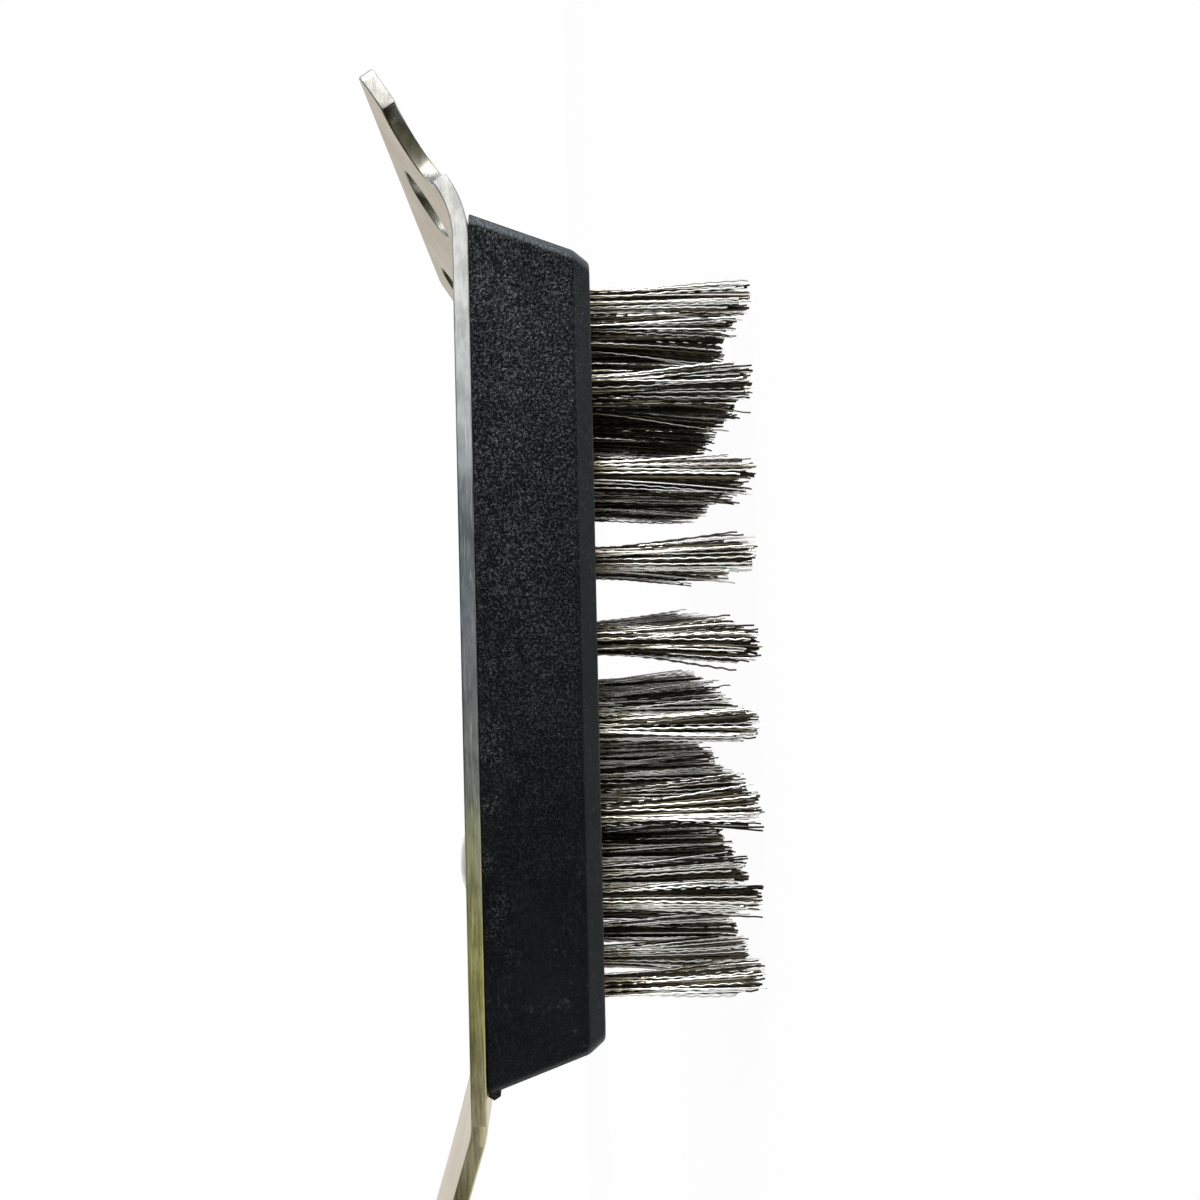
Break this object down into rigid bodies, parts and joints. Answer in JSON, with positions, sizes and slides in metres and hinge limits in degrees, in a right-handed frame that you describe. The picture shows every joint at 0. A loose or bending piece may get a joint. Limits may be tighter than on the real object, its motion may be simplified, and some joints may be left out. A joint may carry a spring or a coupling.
{
  "type": "wire scratch brush with scraper",
  "caption": "Block wire brush: a bent stainless sheet is scraper tab, back plate and tang; a screwed-on black block carries crimped wire tufts; grip scales are riveted on the tang.",
  "frame": {"origin": "under the middle of the whole length, on the plane of the bristle tips", "axes": "+X across the brush, +Y along it towards the scraper tab, +Z from the bristle tips up to the back plate"},
  "size_m": [0.083, 0.2918, 0.0873],
  "materials": {
    "stainless_sheet": "mill-finished stainless sheet with sheared edges",
    "block_moulding": "black moulded plastic with a fine pebble grain",
    "bristle_wire": "bright crimped stainless wire",
    "fastener_steel": "bright stainless screws and rivets",
    "grip_moulding": "black moulded plastic, satin"
  },
  "bodies": {
    "root": {"back_plate": "stainless_sheet", "brush_block": "block_moulding", "tuft_bed_handle_end": "bristle_wire", "tuft_bed_middle": "bristle_wire", "tuft_bed_scraper_end": "bristle_wire", "plate_screw_left": "fastener_steel", "plate_screw_right": "fastener_steel", "plate_screw_scraper_end": "fastener_steel", "grip_scale_back": "grip_moulding", "grip_scale_front": "grip_moulding", "grip_rivet_fore": "fastener_steel", "grip_rivet_mid": "fastener_steel", "grip_rivet_aft": "fastener_steel"}
  },
  "joints": []
}
